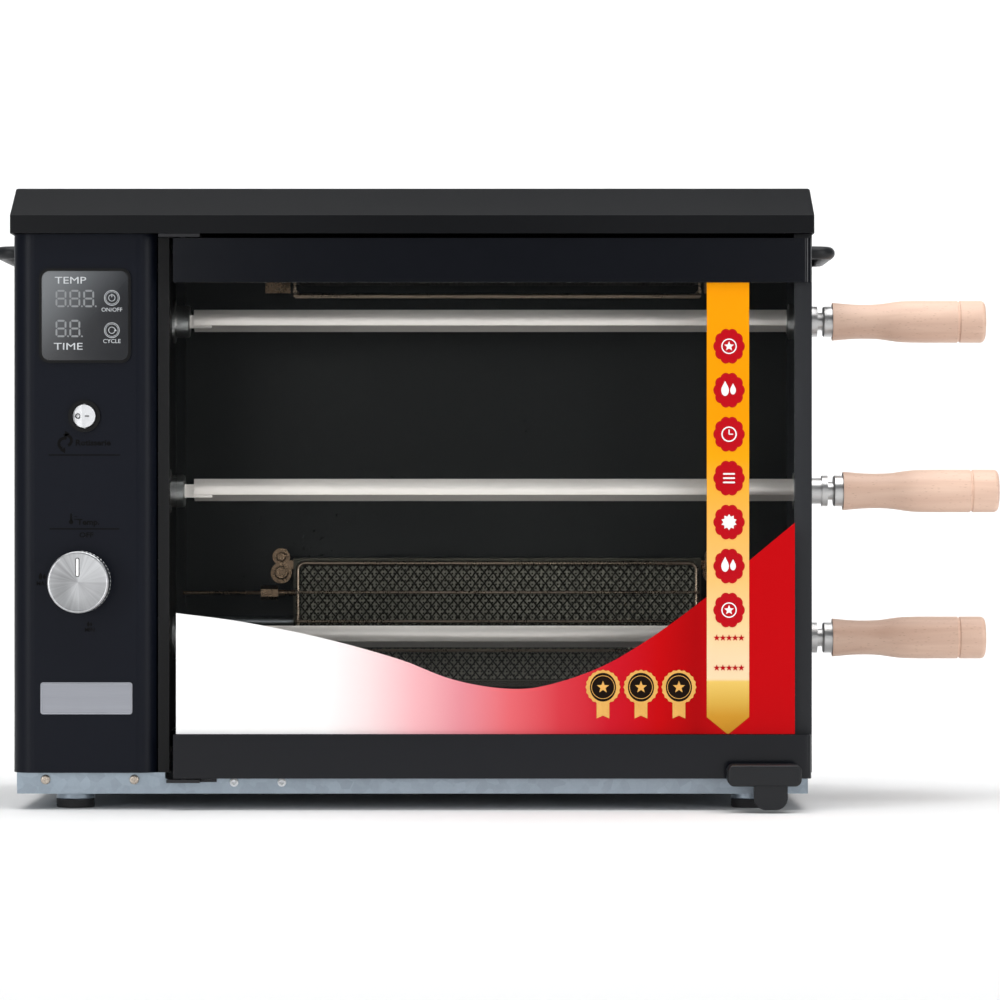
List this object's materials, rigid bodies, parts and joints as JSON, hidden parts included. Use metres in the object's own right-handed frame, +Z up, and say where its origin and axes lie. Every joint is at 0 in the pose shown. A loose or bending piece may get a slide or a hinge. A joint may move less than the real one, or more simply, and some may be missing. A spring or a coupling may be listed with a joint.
{
  "type": "rotisserie oven",
  "caption": "Table-top rotisserie oven: side control box, left-hinged glass door, motor-driven pull-out skewers with wooden handles and ceramic rear burners.",
  "frame": {"origin": "on the floor, under the middle of the overall box", "axes": "+X to the right along the skewers, +Y to the back, +Z up; the door faces -Y"},
  "size_m": [0.776, 0.4, 0.469],
  "materials": {
    "galvanised": "dull galvanised sheet",
    "rubber": "matt black",
    "housing_paint": "satin blue-black",
    "lid_paint": "satin charcoal",
    "side_paint": "satin charcoal",
    "black_paint": "matt black",
    "liner_enamel": "dark satin",
    "burner_steel": "heat-dulled",
    "ceramic_tile": "matt, perforated",
    "guard_wire": "heat-dulled",
    "handle_black": "satin",
    "bezel_plastic": "satin black",
    "display_lens": "gloss black",
    "rocker_plastic": "gloss white",
    "brass": "machined",
    "polished_steel": "turned and polished",
    "skewer_steel": "polished stainless",
    "knob_metal": "spun satin",
    "manifold_pipe": "drawn tube",
    "gear_steel": "hobbed, oiled",
    "door_gloss": "gloss black",
    "clear_glass": "clear tempered",
    "nameplate_metal": "satin, blank",
    "screw_steel": "zinc-yellow",
    "beech": "turned, oiled"
  },
  "bodies": {
    "frame": {"base_pan": "galvanised", "burner_brackets": "burner_steel", "cavity_liner": "liner_enamel", "control_housing": "housing_paint", "display_bezel": "bezel_plastic", "display_window": "display_lens", "door_post": "black_paint", "drip_tray": "liner_enamel", "foot_cups": "galvanised", "foot_pads": "rubber", "gas_inlet": "brass", "gas_manifold": "manifold_pipe", "gear_motor": "galvanised", "hinge_brackets": "polished_steel", "housing_screws": "screw_steel", "idler_posts": "polished_steel", "igniter_rod": "guard_wire", "lower_burner_box": "burner_steel", "lower_ceramic_tiles": "ceramic_tile", "lower_flange": "galvanised", "lower_wire_guard": "guard_wire", "nameplate": "nameplate_metal", "partition_wall": "black_paint", "rear_panel": "black_paint", "right_side_panel": "side_paint", "side_handle_left": "handle_black", "side_handle_right": "handle_black", "skewer_bushes": "polished_steel", "spindle_bushes": "polished_steel", "switch_bezel": "bezel_plastic", "top_cover": "lid_paint", "upper_burner_box": "burner_steel", "upper_ceramic_tiles": "ceramic_tile", "upper_wire_guard": "guard_wire", "valve_body": "brass"},
    "door": {"door_bottom_rail": "door_gloss", "door_top_rail": "door_gloss", "door_glass": "clear_glass", "door_handle": "handle_black"},
    "switch": {"switch_rocker": "rocker_plastic"},
    "stem": {"valve_stem": "polished_steel"},
    "knob": {"control_knob": "knob_metal"},
    "upper_idler": {"upper_idler_gear": "gear_steel"},
    "lower_idler": {"lower_idler_gear": "gear_steel"},
    "pinion": {"motor_pinion": "gear_steel"},
    "spindle_top": {"drive_hub_top": "polished_steel", "spindle_gear_top": "gear_steel"},
    "skewer_top": {"skewer_blade_top": "skewer_steel", "skewer_collar_top": "polished_steel", "skewer_handle_top": "beech"},
    "spindle_middle": {"drive_hub_middle": "polished_steel", "spindle_gear_middle": "gear_steel"},
    "skewer_middle": {"skewer_blade_middle": "skewer_steel", "skewer_collar_middle": "polished_steel", "skewer_handle_middle": "beech"},
    "spindle_bottom": {"drive_hub_bottom": "polished_steel", "spindle_gear_bottom": "gear_steel"},
    "skewer_bottom": {"skewer_blade_bottom": "skewer_steel", "skewer_collar_bottom": "polished_steel", "skewer_handle_bottom": "beech"}
  },
  "joints": [
    {"name": "door_hinge", "type": "hinge", "parent": "frame", "child": "door", "pos_m": [-0.235, -0.16, 0.226], "axis": [0, 0, -1], "range_deg": [0, 120]},
    {"name": "valve_turn", "type": "hinge", "parent": "frame", "child": "stem", "pos_m": [-0.312, -0.16, 0.1715], "axis": [0, -1, 0], "range_deg": [0, 190]},
    {"name": "knob_push", "type": "slide", "parent": "stem", "child": "knob", "axis": [0, 1, 0], "range_m": [0, 0.003], "stiffness_N_per_m": 1500, "springref_m": -0.002},
    {"name": "switch_rock", "type": "hinge", "parent": "frame", "child": "switch", "pos_m": [-0.309, -0.159, 0.296], "axis": [0, 0, 1], "range_deg": [0, 16]},
    {"name": "spindle_top_turn", "type": "hinge", "parent": "frame", "child": "spindle_top", "pos_m": [-0.282, 0, 0.373], "axis": [1, 0, 0], "continuous": true},
    {"name": "spindle_middle_turn", "type": "hinge", "parent": "frame", "child": "spindle_middle", "pos_m": [-0.282, -0.06, 0.24], "axis": [1, 0, 0], "continuous": true},
    {"name": "spindle_bottom_turn", "type": "hinge", "parent": "frame", "child": "spindle_bottom", "pos_m": [-0.282, 0, 0.125], "axis": [1, 0, 0], "continuous": true},
    {"name": "upper_idler_turn", "type": "hinge", "parent": "frame", "child": "upper_idler", "pos_m": [-0.282, -0.03815, 0.31018], "axis": [1, 0, 0], "continuous": true},
    {"name": "lower_idler_turn", "type": "hinge", "parent": "frame", "child": "lower_idler", "pos_m": [-0.282, -0.03635, 0.17919], "axis": [1, 0, 0], "continuous": true},
    {"name": "pinion_turn", "type": "hinge", "parent": "frame", "child": "pinion", "pos_m": [-0.282, 0.01503, 0.3008], "axis": [1, 0, 0], "continuous": true},
    {"name": "skewer_top_pull", "type": "slide", "parent": "spindle_top", "child": "skewer_top", "axis": [1, 0, 0], "range_m": [0, 0.51]},
    {"name": "skewer_middle_pull", "type": "slide", "parent": "spindle_middle", "child": "skewer_middle", "axis": [1, 0, 0], "range_m": [-0.004, 0.506]},
    {"name": "skewer_bottom_pull", "type": "slide", "parent": "spindle_bottom", "child": "skewer_bottom", "axis": [1, 0, 0], "range_m": [0, 0.51]}
  ],
  "couplings": [
    {"joint": "spindle_middle_turn", "follows": "spindle_top_turn", "ratio": 1},
    {"joint": "spindle_bottom_turn", "follows": "spindle_top_turn", "ratio": 1},
    {"joint": "upper_idler_turn", "follows": "spindle_top_turn", "ratio": -0.81481},
    {"joint": "lower_idler_turn", "follows": "spindle_top_turn", "ratio": -1.0233},
    {"joint": "pinion_turn", "follows": "spindle_top_turn", "ratio": 2.4444}
  ]
}
